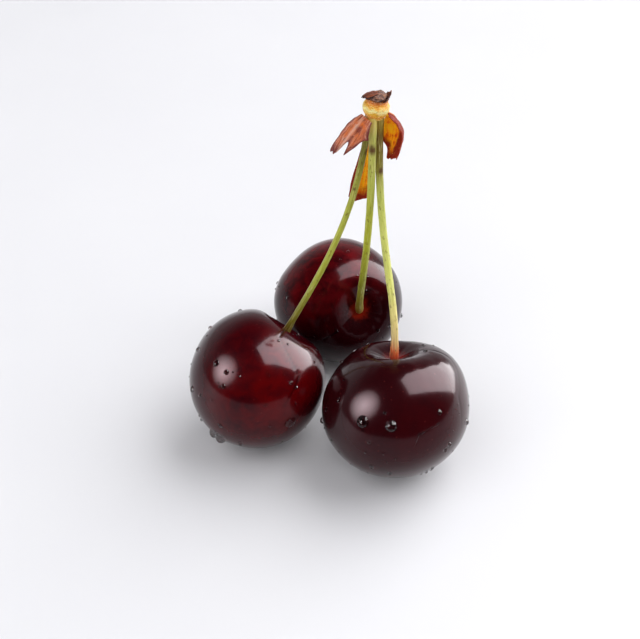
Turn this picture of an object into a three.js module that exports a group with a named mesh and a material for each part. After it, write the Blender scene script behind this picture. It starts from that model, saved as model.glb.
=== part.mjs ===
import * as THREE from "three";

// Three sweet cherries that grew on one spur. Their stalks meet under a woody bud base with
// its dry bud scales, and the bunch stands on its three fruits with the stalks rising.
// Millimetres and degrees, +Z up, the front faces -Y.

const joinGap = 0.3; // left between pieces that meet

// A fruit is widest across its suture line. Its axis runs from the tip to the stalk hollow.
// A swell is a soft bulge, or a flat where it is negative, that fades over its reach.
const fruits = {
  right: {
    width: 28.2,
    thickness: 27.6,
    crown: 14,
    tip: 12.6,
    hollowDepth: 4,
    hollowSpread: 0.36,
    axis: [-0.02, 0.42, 0.9],
    turn: 0,
    swells: [
      { towards: [0.75, 0.3, 0.6], by: 0.9, reach: 32 },
      { towards: [-0.7, 0.2, 0.75], by: -0.9, reach: 30 },
    ],
  },
  left: {
    width: 26.2,
    thickness: 26.2,
    crown: 13.2,
    tip: 13.8,
    hollowDepth: 3.4,
    hollowSpread: 0.36,
    axis: [0.53, 0.56, 0.63],
    turn: -60,
    swells: [{ towards: [0.2, -0.5, -0.8], by: 0.5, reach: 40 }],
  },
  back: {
    width: 27.6,
    thickness: 26,
    crown: 13.2,
    tip: 12.4,
    hollowDepth: 3.6,
    hollowSpread: 0.36,
    axis: [0.43, -0.81, 0.4],
    turn: -100,
    swells: [{ towards: [-0.75, 0.4, 0.6], by: -1.1, reach: 35 }],
  },
};
const hollowOpening = 0.12; // how much wider the hollow is where the suture runs into it

// Plan places: the left fruit stands beside the right one, and the back fruit behind the left.
const leftBearing = 161.8;
const backBearing = 56.8;
const rightToLeftClearance = 0.5;
const leftToBackClearance = 2.2;

const junctionHeight = 65.7; // where the stalks meet, above the surface
const junctionFromFeet = [4.25, 2.8]; // plan offset from the middle of the three stalk feet

const stalks = {
  right: {
    radius: 0.68,
    footRadius: 0.9,
    leave: [0.05, 0.25, 1],
    leaveShare: 0.28,
    arrive: [0, 0, 1],
    arriveShare: 0.6,
    topBearing: 24,
  },
  left: {
    radius: 0.58,
    footRadius: 0.8,
    leave: [0.5, 0.1, 1],
    leaveShare: 0.31,
    arrive: [0.08, 0, 1],
    arriveShare: 0.45,
    topBearing: 140,
  },
  back: {
    radius: 0.68,
    footRadius: 0.9,
    leave: [-0.04, -0.45, 1],
    leaveShare: 0.19,
    arrive: [-0.02, 0, 1],
    arriveShare: 0.55,
    topBearing: 257,
  },
};
const stalkTopRadius = 0.78; // every stalk swells to this where it leaves the bud base
const flareLength = 2.2; // of the swelling at both ends of a stalk

const budLean = 6.5; // of the bud base, towards +X
const neckHeight = 1;
const ringHeight = 2.1;
const ringProud = 0.36; // of the ring past the neck
const ringEdge = 0.13; // how far the ring rounds in at its top and bottom
const shoulderHeight = 0.5;
const capRadius = 1.55; // of the shoulder too, which carries the cap
const capHeight = 0.9;

const scaleThickness = 0.3;

// A bud scale is a thin sheet that follows a spine given as [outwards, sideways, up] from its
// root, which stands just off the ring and starts a little below the neck's top. It is rolled
// about its length, and its end may be slanted, rounded or notched.
const bracts = {
  bract_left: {
    bearing: 226,
    rootBelow: 0.3,
    bend: [1.7, -0.8, -1.6],
    end: [3.6, -2.7, -7],
    width: 5,
    widest: 0.55,
    rootShare: 0.42,
    endShare: 0.62,
    roll: 3.6,
    slant: 0.2,
    round: 0,
    notch: { at: 0.1, depth: 0.3, width: 0.24 },
    color: 0x9c6652,
  },
  bract_right: {
    bearing: 18,
    rootBelow: 0.1,
    bend: [5, 0, -1.8],
    end: [2, 0, -9.2],
    width: 5.4,
    widest: 0.5,
    rootShare: 0.5,
    endShare: 0.45,
    roll: 2.8,
    slant: 0,
    round: 0.12,
    notch: { at: 0, depth: 0, width: 1 },
    color: 0xa3502c,
  },
  bract_back: {
    bearing: 108,
    rootBelow: 0.2,
    bend: [0.9, -0.2, -10],
    end: [0.2, -0.5, -19.9],
    width: 4,
    widest: 0.85,
    rootShare: 0.3,
    endShare: 0.55,
    roll: 2.8,
    slant: 0,
    round: 0.06,
    notch: { at: 0, depth: 0, width: 1 },
    color: 0xc07a24,
  },
};

// The remains of the top scales lie on the cap. Their spines run down from the upper end, as
// [past the cap's edge, sideways, above its top].
const capScales = {
  cap_scale_left: {
    bearing: 184,
    root: [-1.35, 0, 0.7],
    bend: [-0.2, 0, 0.6],
    end: [0.55, 0, -0.7],
    width: 2.6,
    widest: 0.4,
    rootShare: 0.7,
    endShare: 0.3,
    roll: 2.4,
    slant: 0.1,
    round: 0.1,
    notch: { at: 0, depth: 0, width: 1 },
    color: 0x5b3b2e,
  },
  cap_scale_right: {
    bearing: -6,
    root: [0.5, 0, 0.9],
    bend: [0.9, 0, -0.2],
    end: [0.45, 0, -1.2],
    width: 2.1,
    widest: 0.6,
    rootShare: 0.2,
    endShare: 0.8,
    roll: 2.5,
    slant: 0.15,
    round: 0,
    notch: { at: 0, depth: 0, width: 1 },
    color: 0x6d4433,
  },
};

const vector = (list) => new THREE.Vector3(...list);
const radians = THREE.MathUtils.degToRad;

function named(name, geometry, color, roughness) {
  geometry.computeVertexNormals();
  const material = new THREE.MeshStandardMaterial({ color, roughness, metalness: 0 });
  const mesh = new THREE.Mesh(geometry, material);
  mesh.name = name;
  return mesh;
}

// Moves every vertex of a geometry to where place() puts it.
function reshape(geometry, place) {
  const positions = geometry.attributes.position;
  const point = new THREE.Vector3();
  for (let i = 0; i < positions.count; i += 1) {
    point.fromBufferAttribute(positions, i);
    place(point);
    positions.setXYZ(i, point.x, point.y, point.z);
  }
  return geometry;
}

// ---- fruits

const fruitSides = 40;
const fruitRings = 26;
const ringCrowding = 1.3; // rings crowd towards the hollow, where the shape turns fastest

// Height along the fruit's axis of its surface, at a polar angle and a way round.
function fruitHeight(fruit, polar, round) {
  const level = Math.cos(polar);
  if (level < 0) return fruit.tip * level;
  const sutureSide = (1 + Math.cos(round)) / 2;
  const spread = fruit.hollowSpread * (1 + hollowOpening * sutureSide ** 2);
  const dip = Math.exp(-((Math.sin(polar) / spread) ** 2));
  return fruit.crown * level - fruit.hollowDepth * dip;
}

function fruitMesh(name, fruit, color) {
  const upright = new THREE.Vector3(0, 0, 1);
  const tilt = new THREE.Quaternion().setFromUnitVectors(upright, vector(fruit.axis).normalize());
  const spin = new THREE.Quaternion().setFromAxisAngle(upright, radians(fruit.turn));
  const pose = tilt.multiply(spin);
  const bulges = fruit.swells.map((swell) => ({ ...swell, towards: vector(swell.towards).normalize() }));

  const sphere = new THREE.SphereGeometry(1, fruitSides, fruitRings).rotateX(Math.PI / 2);
  const geometry = reshape(sphere, (point) => {
    const share = Math.acos(THREE.MathUtils.clamp(point.z, -1, 1)) / Math.PI;
    const polar = Math.PI * share ** ringCrowding;
    const round = Math.atan2(point.y, point.x);
    const outwards = new THREE.Vector3(
      Math.sin(polar) * Math.cos(round),
      Math.sin(polar) * Math.sin(round),
      Math.cos(polar),
    );
    point.set(outwards.x * fruit.thickness, outwards.y * fruit.width, 0).divideScalar(2);
    point.z = fruitHeight(fruit, polar, round);
    point.applyQuaternion(pose);
    outwards.applyQuaternion(pose);
    for (const bulge of bulges) {
      const angle = outwards.angleTo(bulge.towards) / radians(bulge.reach);
      point.addScaledVector(outwards, bulge.by * Math.exp(-(angle ** 2)));
    }
  });
  geometry.computeBoundingBox();
  const mesh = named(name, geometry, color, 0.18);
  mesh.position.z = -geometry.boundingBox.min.z; // the fruit stands on the surface
  return mesh;
}

// How far a fruit reaches from its middle along a plan bearing.
function fruitReach(mesh, bearing) {
  const direction = new THREE.Vector3(Math.cos(radians(bearing)), Math.sin(radians(bearing)), 0);
  const positions = mesh.geometry.attributes.position;
  const point = new THREE.Vector3();
  let reach = 0;
  for (let i = 0; i < positions.count; i += 1) {
    reach = Math.max(reach, point.fromBufferAttribute(positions, i).dot(direction));
  }
  return reach;
}

// Stands a fruit beside another one along a bearing, clear of it.
function standBeside(mesh, neighbour, bearing, clearance) {
  const distance = fruitReach(neighbour, bearing) + clearance + fruitReach(mesh, bearing + 180);
  mesh.position.x = neighbour.position.x + distance * Math.cos(radians(bearing));
  mesh.position.y = neighbour.position.y + distance * Math.sin(radians(bearing));
}

const fruitMeshes = {
  right: fruitMesh("cherry_right", fruits.right, 0x4a1018),
  left: fruitMesh("cherry_left", fruits.left, 0x5c0f1a),
  back: fruitMesh("cherry_back", fruits.back, 0x54101b),
};
standBeside(fruitMeshes.left, fruitMeshes.right, leftBearing, rightToLeftClearance);
standBeside(fruitMeshes.back, fruitMeshes.left, backBearing, leftToBackClearance);

// ---- stalks

const stalkSides = 8;
const stalkRings = 30;

// A stalk's foot stands on the floor of its fruit's hollow.
function stalkFoot(side) {
  const fruit = fruits[side];
  const axis = vector(fruit.axis).normalize();
  const floor = fruitHeight(fruit, 0, 0);
  return fruitMeshes[side].position.clone().addScaledVector(axis, floor + joinGap);
}

const sides = Object.keys(stalks);
const feet = Object.fromEntries(sides.map((side) => [side, stalkFoot(side)]));
const junction = new THREE.Vector3();
for (const side of sides) junction.addScaledVector(feet[side], 1 / sides.length);
junction.x += junctionFromFeet[0];
junction.y += junctionFromFeet[1];
junction.z = junctionHeight;

// The bud base leans. Its frame has its origin where the stalks meet it.
const bud = new THREE.Group();
bud.position.copy(junction);
bud.rotation.y = radians(budLean);
bud.updateMatrixWorld();
const budAxis = new THREE.Vector3(0, 0, 1).applyQuaternion(bud.quaternion);

// The stalk tops stand in a ring, just clear of each other at the closest pair.
function closestBearings() {
  const bearings = sides.map((side) => stalks[side].topBearing).sort((a, b) => a - b);
  const steps = bearings.map((bearing, i) => {
    const next = bearings[(i + 1) % bearings.length];
    return (next - bearing + 360) % 360;
  });
  return Math.min(...steps);
}
const topRing = (2 * stalkTopRadius + joinGap) / (2 * Math.sin(radians(closestBearings() / 2)));
const neckRadius = topRing + stalkTopRadius;

// A tube along a curve, made from a closed cylinder. Its ends lie flat on the fruit and the bud.
function stalkMesh(side, color) {
  const stalk = stalks[side];
  const foot = feet[side];
  const bearing = radians(stalk.topBearing);
  const top = new THREE.Vector3(topRing * Math.cos(bearing), topRing * Math.sin(bearing), -joinGap);
  bud.localToWorld(top);
  const span = foot.distanceTo(top);
  const leave = vector(stalk.leave).setLength(span * stalk.leaveShare);
  const arrive = vector(stalk.arrive).setLength(span * stalk.arriveShare);
  const curve = new THREE.CubicBezierCurve3(foot, foot.clone().add(leave), top.clone().sub(arrive), top);
  const length = curve.getLength();
  const footAxis = vector(fruits[side].axis).normalize();

  const fade = (distance) => Math.exp(-((distance / flareLength) ** 2));
  const cylinder = new THREE.CylinderGeometry(1, 1, 1, stalkSides, stalkRings).rotateX(Math.PI / 2);
  const geometry = reshape(cylinder, (point) => {
    const share = THREE.MathUtils.clamp(point.z + 0.5, 0, 1);
    const fromFoot = fade(share * length);
    const fromTop = fade((1 - share) * length);
    const radius = stalk.radius + (stalk.footRadius - stalk.radius) * fromFoot
      + (stalkTopRadius - stalk.radius) * fromTop;
    const across = curve.getTangentAt(share).lerp(footAxis, fromFoot).lerp(budAxis, fromTop).normalize();
    const depth = new THREE.Vector3().crossVectors(across, new THREE.Vector3(1, 0, 0)).normalize();
    const breadth = new THREE.Vector3().crossVectors(depth, across);
    const offset = breadth.multiplyScalar(point.x * radius).addScaledVector(depth, point.y * radius);
    point.copy(curve.getPointAt(share)).add(offset);
  });
  return named(`stalk_${side}`, geometry, color, 0.45);
}

const stalkMeshes = [
  stalkMesh("right", 0x9a9a55),
  stalkMesh("left", 0x7d8048),
  stalkMesh("back", 0x949a4a),
];

// ---- bud base, cap and scales

const budSides = 20;
const domeSteps = 4;

function turned(profile) {
  const points = profile.map(([radius, height]) => new THREE.Vector2(radius, height));
  return new THREE.LatheGeometry(points, budSides).rotateX(Math.PI / 2);
}

const ringRadius = neckRadius + ringProud;
const ringTop = neckHeight + ringHeight;
const budTop = ringTop + shoulderHeight;

const budBase = named("bud_base", turned([
  [0, 0],
  [neckRadius, 0],
  [neckRadius, neckHeight / 2],
  [ringRadius - ringEdge, neckHeight],
  [ringRadius, neckHeight + ringHeight / 3],
  [ringRadius, ringTop - ringHeight / 3],
  [ringRadius - ringEdge, ringTop - ringEdge],
  [capRadius, ringTop],
  [capRadius, budTop],
  [0, budTop],
]), 0xd9b45a, 0.6);

const capFoot = budTop + joinGap;
const capTop = capFoot + capHeight;
const dome = [[0, capFoot]];
for (let step = 0; step <= domeSteps; step += 1) {
  const angle = radians((90 * step) / domeSteps);
  dome.push([capRadius * Math.cos(angle), capFoot + capHeight * Math.sin(angle)]);
}
const budCap = named("bud_cap", turned(dome), 0x4d3226, 0.8);

const scaleAcross = 8;
const scaleAlong = 14;

// Half the width of a scale, at a share of the way along it.
function scaleHalfWidth(scale, share) {
  const opening = THREE.MathUtils.smoothstep(share, 0, scale.widest);
  const closing = Math.max(0, (share - scale.widest) / (1 - scale.widest));
  const taper = Math.sqrt(1 - (1 - scale.endShare ** 2) * closing ** 2);
  return (scale.width / 2) * (scale.rootShare + (1 - scale.rootShare) * opening) * taper;
}

// A rolled sheet along a spine. Its hollow side faces the stalks.
function scaleMesh(name, scale, spinePoints) {
  const spine = new THREE.QuadraticBezierCurve3(...spinePoints.map(vector));
  const sideways = new THREE.Vector3(0, 1, 0);
  const sheet = new THREE.BoxGeometry(2, 1, 1, scaleAcross, scaleAlong, 1);
  const geometry = reshape(sheet, (point) => {
    const notch = scale.notch.depth * Math.exp(-(((point.x - scale.notch.at) / scale.notch.width) ** 2));
    const slant = (scale.slant * (point.x + 1)) / 2;
    const share = (point.y + 0.5) * (1 - notch - slant - scale.round * point.x ** 2);
    const depth = point.z * scaleThickness;
    const turn = (point.x * scaleHalfWidth(scale, share)) / scale.roll;
    const along = spine.getTangent(share);
    const side = sideways.clone().addScaledVector(along, -along.dot(sideways)).normalize();
    const outwards = new THREE.Vector3().crossVectors(along, side);
    const radius = scale.roll - depth;
    point.copy(spine.getPoint(share));
    point.addScaledVector(side, radius * Math.sin(turn));
    point.addScaledVector(outwards, radius * Math.cos(turn) - scale.roll);
  });
  const mesh = named(name, geometry, scale.color, 0.7);
  mesh.rotation.z = radians(scale.bearing);
  return mesh;
}

const bractRoot = ringRadius - ringEdge + joinGap + scaleThickness / 2;
for (const [name, bract] of Object.entries(bracts)) {
  const rootHeight = neckHeight - bract.rootBelow;
  const fromRoot = ([out, sideways, up]) => [bractRoot + out, sideways, rootHeight + up];
  bud.add(scaleMesh(name, bract, [[0, 0, 0], bract.bend, bract.end].map(fromRoot)));
}
for (const [name, scale] of Object.entries(capScales)) {
  const fromCap = ([past, sideways, above]) => [capRadius + past, sideways, capTop + above];
  bud.add(scaleMesh(name, scale, [scale.root, scale.bend, scale.end].map(fromCap)));
}
bud.add(budBase, budCap);

// ---- the bunch, with its origin on the surface under the middle of its box

const bunch = new THREE.Group();
bunch.add(...Object.values(fruitMeshes), ...stalkMeshes, bud);
bunch.updateMatrixWorld(true);
const box = new THREE.Box3().setFromObject(bunch, true);
bunch.position.set(-(box.min.x + box.max.x) / 2, -(box.min.y + box.max.y) / 2, -box.min.z);

export default bunch;
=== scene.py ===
import math
import random

import bmesh
import bpy
from mathutils import Matrix, Quaternion, Vector, noise
from mathutils.bvhtree import BVHTree


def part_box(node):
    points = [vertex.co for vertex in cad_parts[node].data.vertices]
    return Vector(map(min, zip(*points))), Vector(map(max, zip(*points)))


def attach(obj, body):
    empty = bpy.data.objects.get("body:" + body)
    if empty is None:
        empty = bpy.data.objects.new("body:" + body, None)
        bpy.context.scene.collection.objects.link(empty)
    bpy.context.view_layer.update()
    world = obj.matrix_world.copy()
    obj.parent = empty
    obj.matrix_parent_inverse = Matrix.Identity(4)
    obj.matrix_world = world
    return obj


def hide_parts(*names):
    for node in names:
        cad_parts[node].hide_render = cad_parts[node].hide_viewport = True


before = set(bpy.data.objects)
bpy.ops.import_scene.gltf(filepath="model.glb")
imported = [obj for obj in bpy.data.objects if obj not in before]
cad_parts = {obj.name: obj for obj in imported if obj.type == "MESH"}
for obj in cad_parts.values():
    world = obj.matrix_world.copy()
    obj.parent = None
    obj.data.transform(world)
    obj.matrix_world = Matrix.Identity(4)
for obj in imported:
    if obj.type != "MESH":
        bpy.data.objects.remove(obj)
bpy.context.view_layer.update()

mm = 0.001
up = Vector((0, 0, 1))


def tone(red, green, blue):
    # a colour as painters give it, 0 to 255, made ready for the shaders
    parts = [part / 255 for part in (red, green, blue)]
    return [part / 12.92 if part < 0.04045 else ((part + 0.055) / 1.055) ** 2.4 for part in parts] + [1]


class Wire:
    # a node's output socket; sums written with it add Math nodes
    def __init__(self, finish, socket):
        self.finish = finish
        self.socket = socket

    def reckon(self, how, first, second):
        return self.finish.add("ShaderNodeMath", {"operation": how}, {0: first, 1: second})

    def __add__(self, other):
        return self.reckon("ADD", self, other)

    def __sub__(self, other):
        return self.reckon("SUBTRACT", self, other)

    def __rsub__(self, other):
        return self.reckon("SUBTRACT", other, self)

    def __mul__(self, other):
        return self.reckon("MULTIPLY", self, other)

    __radd__ = __add__
    __rmul__ = __mul__


class Finish:
    # a node tree with one short way to add a node
    def __init__(self, tree):
        self.tree = tree

    def add(self, kind, settings, sockets, output=0):
        node = self.tree.nodes.new(kind)
        for name, value in settings.items():
            if name == "stops":
                stops = node.color_ramp.elements
                while len(stops) < len(value):
                    stops.new(1)
                for stop, (at, colour) in zip(stops, value):
                    stop.position = at
                    stop.color = colour
            else:
                setattr(node, name, value)
        for name, value in sockets.items():
            if isinstance(value, Wire):
                self.tree.links.new(value.socket, node.inputs[name])
            else:
                node.inputs[name].default_value = value
        return Wire(self, node.outputs[output])

    def noise(self, where, size, detail=2, distortion=0):
        # patches of about that size, in the units that where is given in
        return self.add("ShaderNodeTexNoise", {}, {
            "Vector": where, "Scale": 1 / size, "Detail": detail, "Distortion": distortion,
        })

    def rise(self, value, low, high):
        # 0 below low, 1 above high, smooth between
        return self.add("ShaderNodeMapRange", {"interpolation_type": "SMOOTHSTEP"}, {
            "Value": value, "From Min": low, "From Max": high,
        })

    def ramp(self, value, stops):
        return self.add("ShaderNodeValToRGB", {"stops": stops}, {"Fac": value})

    def mix(self, share, first, second):
        # 6 and 7 are the node's colour sockets, and 2 is its colour output
        return self.add("ShaderNodeMix", {"data_type": "RGBA"}, {0: share, 6: first, 7: second}, 2)

    def attribute(self, name, output="Fac"):
        return self.add("ShaderNodeAttribute", {"attribute_name": name}, {}, output)

    def place(self, centre=(0, 0, 0)):
        # where a point is, from a centre
        coordinates = self.add("ShaderNodeTexCoord", {}, {}, "Object")
        return self.add("ShaderNodeVectorMath", {"operation": "SUBTRACT"}, {0: coordinates, 1: centre})

    def towards(self, where, direction):
        # how far a point lies along a direction
        return self.add("ShaderNodeVectorMath", {"operation": "DOT_PRODUCT"}, {
            0: where, 1: Vector(direction).normalized(),
        }, "Value")

    def stretch(self, where, factors):
        return self.add("ShaderNodeVectorMath", {"operation": "MULTIPLY"}, {0: where, 1: factors})

    def bump(self, height, depth):
        # depth in metres
        return self.add("ShaderNodeBump", {}, {"Height": height, "Strength": 1, "Distance": depth})


def newFinish(name, fixed, varying):
    # a Principled material: fixed values on its own sockets, and varying(finish) for the rest
    material = bpy.data.materials.new(name)
    material.use_nodes = True
    shader = material.node_tree.nodes["Principled BSDF"]
    for socket, value in fixed.items():
        shader.inputs[socket].default_value = value
    finish = Finish(material.node_tree)
    for socket, wire in varying(finish).items():
        material.node_tree.links.new(wire.socket, shader.inputs[socket])
    return material


def gauss(distance, reach):
    # 1 at no distance, fading to nearly nothing at twice the reach
    return math.exp(-((distance / reach) ** 2))


def smooth(value, low, high):
    # 0 below low, 1 above high, smooth between
    share = min(1, max(0, (value - low) / (high - low)))
    return share * share * (3 - 2 * share)


def wobble(point, size, seed=0):
    # smooth noise from -1 to 1 with bumps of about that size
    return noise.noise(Vector(point) / size + Vector((seed * 7.3, seed * 3.1, seed * 5.7)))


def mergedCopy(node):
    # a CAD node's mesh with its loose triangles joined
    bm = bmesh.new()
    bm.from_mesh(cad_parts[node].data)
    bmesh.ops.remove_doubles(bm, verts=bm.verts, dist=1e-6)
    return bm


def poles(bm):
    # the two ends of a turned or swept solid are where most edges meet
    crowded = sorted(bm.verts, key=lambda vert: -len(vert.link_edges))[:2]
    return sorted(crowded, key=lambda vert: vert.co.z)


def faceOutwards(bm):
    # a closed shell may be recalculated inside out, and then its volume is negative
    bmesh.ops.recalc_face_normals(bm, faces=bm.faces)
    if bm.calc_volume(signed=True) < 0:
        bmesh.ops.reverse_faces(bm, faces=bm.faces)
    bm.normal_update()


def swept(bm, sides, places):
    # a tube grown ring by ring, each ring at its own place; gives the rings
    ring = bmesh.ops.create_circle(bm, segments=sides, radius=1)["verts"]
    inRing = set(ring)
    edges = [edge for edge in bm.edges if inRing.issuperset(edge.verts)]
    rings = []
    placed = Matrix.Identity(4)
    for there in places:
        if rings:
            grown = bmesh.ops.extrude_edge_only(bm, edges=edges)["geom"]
            ring = [part for part in grown if isinstance(part, bmesh.types.BMVert)]
            edges = [part for part in grown if isinstance(part, bmesh.types.BMEdge)]
        bmesh.ops.transform(bm, matrix=there @ placed.inverted(), verts=ring)
        rings.append(ring)
        placed = there
    return rings


def ringPlace(middle, radius, sideways, upwards, ahead):
    # a matrix that lays a flat ring of radius 1 across its way ahead
    turn = Matrix((sideways, upwards, ahead)).transposed().to_4x4()
    return Matrix.Translation(middle) @ turn @ Matrix.Scale(radius, 4)


def finished(name, bm, material, body="root", stands=(), modifiers=()):
    # a bmesh becomes a piece of the model, at the origin, with its place in its mesh
    mesh = bpy.data.meshes.new(name)
    bm.to_mesh(mesh)
    bm.free()
    mesh.polygons.foreach_set("use_smooth", [True] * len(mesh.polygons))
    mesh.materials.append(material)
    piece = bpy.data.objects.new(name, mesh)
    bpy.context.scene.collection.objects.link(piece)
    for kind, settings in modifiers:
        modifier = piece.modifiers.new(kind.title(), kind)
        for setting, value in settings.items():
            setattr(modifier, setting, value)
    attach(piece, body)
    if stands:
        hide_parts(*stands)
    print("made", name, len(mesh.vertices), "vertices")
    return piece


onceSmoother = ("SUBSURF", {"levels": 1, "render_levels": 1})


# Metres and degrees.
studio = {
    "cameraPlace": (-0.0014, -0.1779, 0.1712),
    "cameraLooksDown": 40,
    "lens": 67.5,
    "sensor": 36,
    "seenFrom": 0.005,
    "floorWidth": 1.6,
    "floorPale": tone(232, 232, 236),
    "floorCloud": tone(226, 226, 231),
    "aim": (0, 0, 0.02),
    "backPale": (0.86, 0.87, 0.9, 1),
    "fillLight": (0.37, 0.37, 0.368, 1),
    "roomPale": (0.62, 0.62, 0.64, 1),
    "roomDark": (0.025, 0.024, 0.026, 1),
    "paleBehind": (-0.25, 0.55),
    "darkAbove": (0.25, 0.8),
}

# The two softboxes are what shines on the skins, and the other two lights fill the table.
# Bearing, height, roll and spread are in degrees, away and size in metres, power in watts.
softboxes = {
    "softbox_right": {
        "shape": "RECTANGLE", "bearing": 20, "height": 39, "away": 0.62, "size": (0.5, 1.2), "roll": 18,
        "power": 20, "spread": 160, "shines": True, "fills": False, "misses": None,
    },
    "softbox_left": {
        "shape": "ELLIPSE", "bearing": -159, "height": 30, "away": 0.6, "size": (0.8, 0.8), "roll": 0,
        "power": 2.5, "spread": 48, "shines": True, "fills": False, "misses": "cherry_back_fruit",
    },
    "overhead": {
        "shape": "RECTANGLE", "bearing": 25, "height": 46, "away": 0.9, "size": (1.3, 1), "roll": 0,
        "power": 10.2, "spread": 180, "shines": False, "fills": True, "misses": None,
    },
    "front_fill": {
        "shape": "RECTANGLE", "bearing": -135, "height": 45, "away": 0.8, "size": (0.8, 0.8), "roll": 0,
        "power": 2.8, "spread": 180, "shines": False, "fills": True, "misses": None,
    },
}


def pointing(bearing, height):
    # the direction at a bearing from +X and a height above level, both in degrees
    level = math.cos(math.radians(height))
    return Vector((
        level * math.cos(math.radians(bearing)),
        level * math.sin(math.radians(bearing)),
        math.sin(math.radians(height)),
    ))


cameraData = bpy.data.cameras.new("camera")
cameraData.lens = studio["lens"]
cameraData.sensor_width = studio["sensor"]
cameraData.clip_start = studio["seenFrom"]
cameraObject = bpy.data.objects.new("camera", cameraData)
cameraObject.location = studio["cameraPlace"]
cameraObject.rotation_euler = (math.radians(90 - studio["cameraLooksDown"]), 0, 0)
bpy.context.scene.collection.objects.link(cameraObject)
bpy.context.scene.camera = cameraObject
bpy.context.scene.view_settings.view_transform = "Standard"

unlit = {}  # the lamp that each named piece gets no light from
unshaded = bpy.data.collections.new("not_shading")  # pieces that the softboxes shine past
for name, box in softboxes.items():
    lamp = bpy.data.lights.new(name, "AREA")
    lamp.shape = box["shape"]
    lamp.size, lamp.size_y = box["size"]
    lamp.energy = box["power"]
    lamp.spread = math.radians(box["spread"])
    lampObject = bpy.data.objects.new(name, lamp)
    lampObject.visible_glossy = box["shines"]
    lampObject.visible_diffuse = box["fills"]
    lampObject.visible_transmission = False
    if box["shines"]:
        lampObject.light_linking.blocker_collection = unshaded
    if box["misses"]:
        unlit[box["misses"]] = lampObject
    direction = pointing(box["bearing"], box["height"])
    lampObject.location = Vector(studio["aim"]) + direction * box["away"]
    rolled = Quaternion(direction, math.radians(box["roll"]))
    lampObject.rotation_euler = (rolled @ direction.to_track_quat("Z", "Y")).to_euler()
    bpy.context.scene.collection.objects.link(lampObject)

# What shines sees a room that is pale behind the fruit and dark above and in front of it.
# Matt surfaces get an even light instead, and the camera sees a plain pale back.
world = bpy.data.worlds.new("studio")
world.use_nodes = True
bpy.context.scene.world = world
room = Finish(world.node_tree)
facing = room.add("ShaderNodeTexCoord", {}, {}, "Generated")
facingParts = [room.add("ShaderNodeSeparateXYZ", {}, {0: facing}, axis) for axis in "XYZ"]
behind = room.rise(facingParts[1], *studio["paleBehind"])
low = 1 - room.rise(facingParts[2], *studio["darkAbove"])
roomColour = room.mix(behind * low, studio["roomDark"], studio["roomPale"])
seen = room.add("ShaderNodeLightPath", {}, {}, "Is Camera Ray")
filling = room.add("ShaderNodeLightPath", {}, {}, "Is Diffuse Ray")
roomColour = room.mix(filling, roomColour, studio["fillLight"])
roomColour = room.mix(seen, roomColour, studio["backPale"])
background = world.node_tree.nodes["Background"]
world.node_tree.links.new(roomColour.socket, background.inputs["Color"])

floorMesh = bmesh.new()
bmesh.ops.create_grid(floorMesh, x_segments=8, y_segments=8, size=studio["floorWidth"] / 2)
floorData = bpy.data.meshes.new("floor")
floorMesh.to_mesh(floorData)
floorMesh.free()
floor = bpy.data.objects.new("floor", floorData)
bpy.context.scene.collection.objects.link(floor)


def floorLook(finish):
    where = finish.place()
    cloudy = finish.noise(where, 0.05, 3)
    colour = finish.mix(cloudy, studio["floorPale"], studio["floorCloud"])
    return {"Base Color": colour, "Roughness": finish.noise(where, 0.01) * 0.1 + 0.5}


floorData.materials.append(newFinish("pale_table", {"Specular IOR Level": 0.2}, floorLook))
print("camera, light and floor are set")


# Lengths in millimetres and angles in degrees. A fruit's axis runs from its tip to its hollow,
# its suture leaves the hollow at seamAt and dies out at seamEnds, and a swell or a shoulder is
# (towards, by, reach).
# deep is the skin's own dark red; glow is a painted glow, a lighter red painted on the side that faces the
# light
cherries = {
    "cherry_right": {
        "slot": "cherry_skin_dark", "width": 28.2, "thickness": 27.6, "crown": 14, "tip": 12.6,
        "hollowDepth": 4, "axis": (-0.02, 0.42, 0.9), "turn": 0,
        "swells": (((0.75, 0.3, 0.6), 0.9, 32), ((-0.7, 0.2, 0.75), -0.9, 30)),
        "deep": tone(40, 5, 9), "paintedGlow": tone(50, 4, 8), "paintedGlowSide": (0.5, -0.75, 0.4),
        "hollowTint": tone(120, 20, 12), "seamAt": -20, "seamDrift": -1, "seamEnds": 84,
        "lip": 0.07, "shine": 0.25, "seed": 1,
    },
    "cherry_left": {
        "slot": "cherry_skin_red", "width": 26.2, "thickness": 26.2, "crown": 13.2, "tip": 13.8,
        "hollowDepth": 3.4, "axis": (0.53, 0.56, 0.63), "turn": -60,
        "swells": (((0.2, -0.5, -0.8), 0.5, 40),), "shoulder": ((0.6, -0.1, 0.78), -0.9, 30),
        "deep": tone(45, 2, 8), "paintedGlow": tone(86, 1, 3), "paintedGlowSide": (0.25, -0.8, 0.5),
        "hollowTint": tone(120, 20, 20), "seamAt": -26, "seamDrift": 1.5, "seamEnds": 92,
        "lip": 0, "shine": 0.25, "seed": 2,
    },
    "cherry_back": {
        "slot": "cherry_skin_red", "width": 27.6, "thickness": 26, "crown": 13.2, "tip": 12.4,
        "hollowDepth": 3.6, "axis": (0.43, -0.81, 0.4), "turn": -100,
        "swells": (((-0.75, 0.4, 0.6), -1.1, 35),),
        "deep": tone(31, 1, 4), "paintedGlow": tone(100, 5, 12), "paintedGlowSide": (-0.3, -0.1, 1),
        "hollowTint": tone(128, 26, 6), "seamAt": -12, "seamDrift": 1.2, "seamEnds": 180,
        "lip": 0.03, "shine": 0.17, "seed": 3,
    },
}

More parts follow.
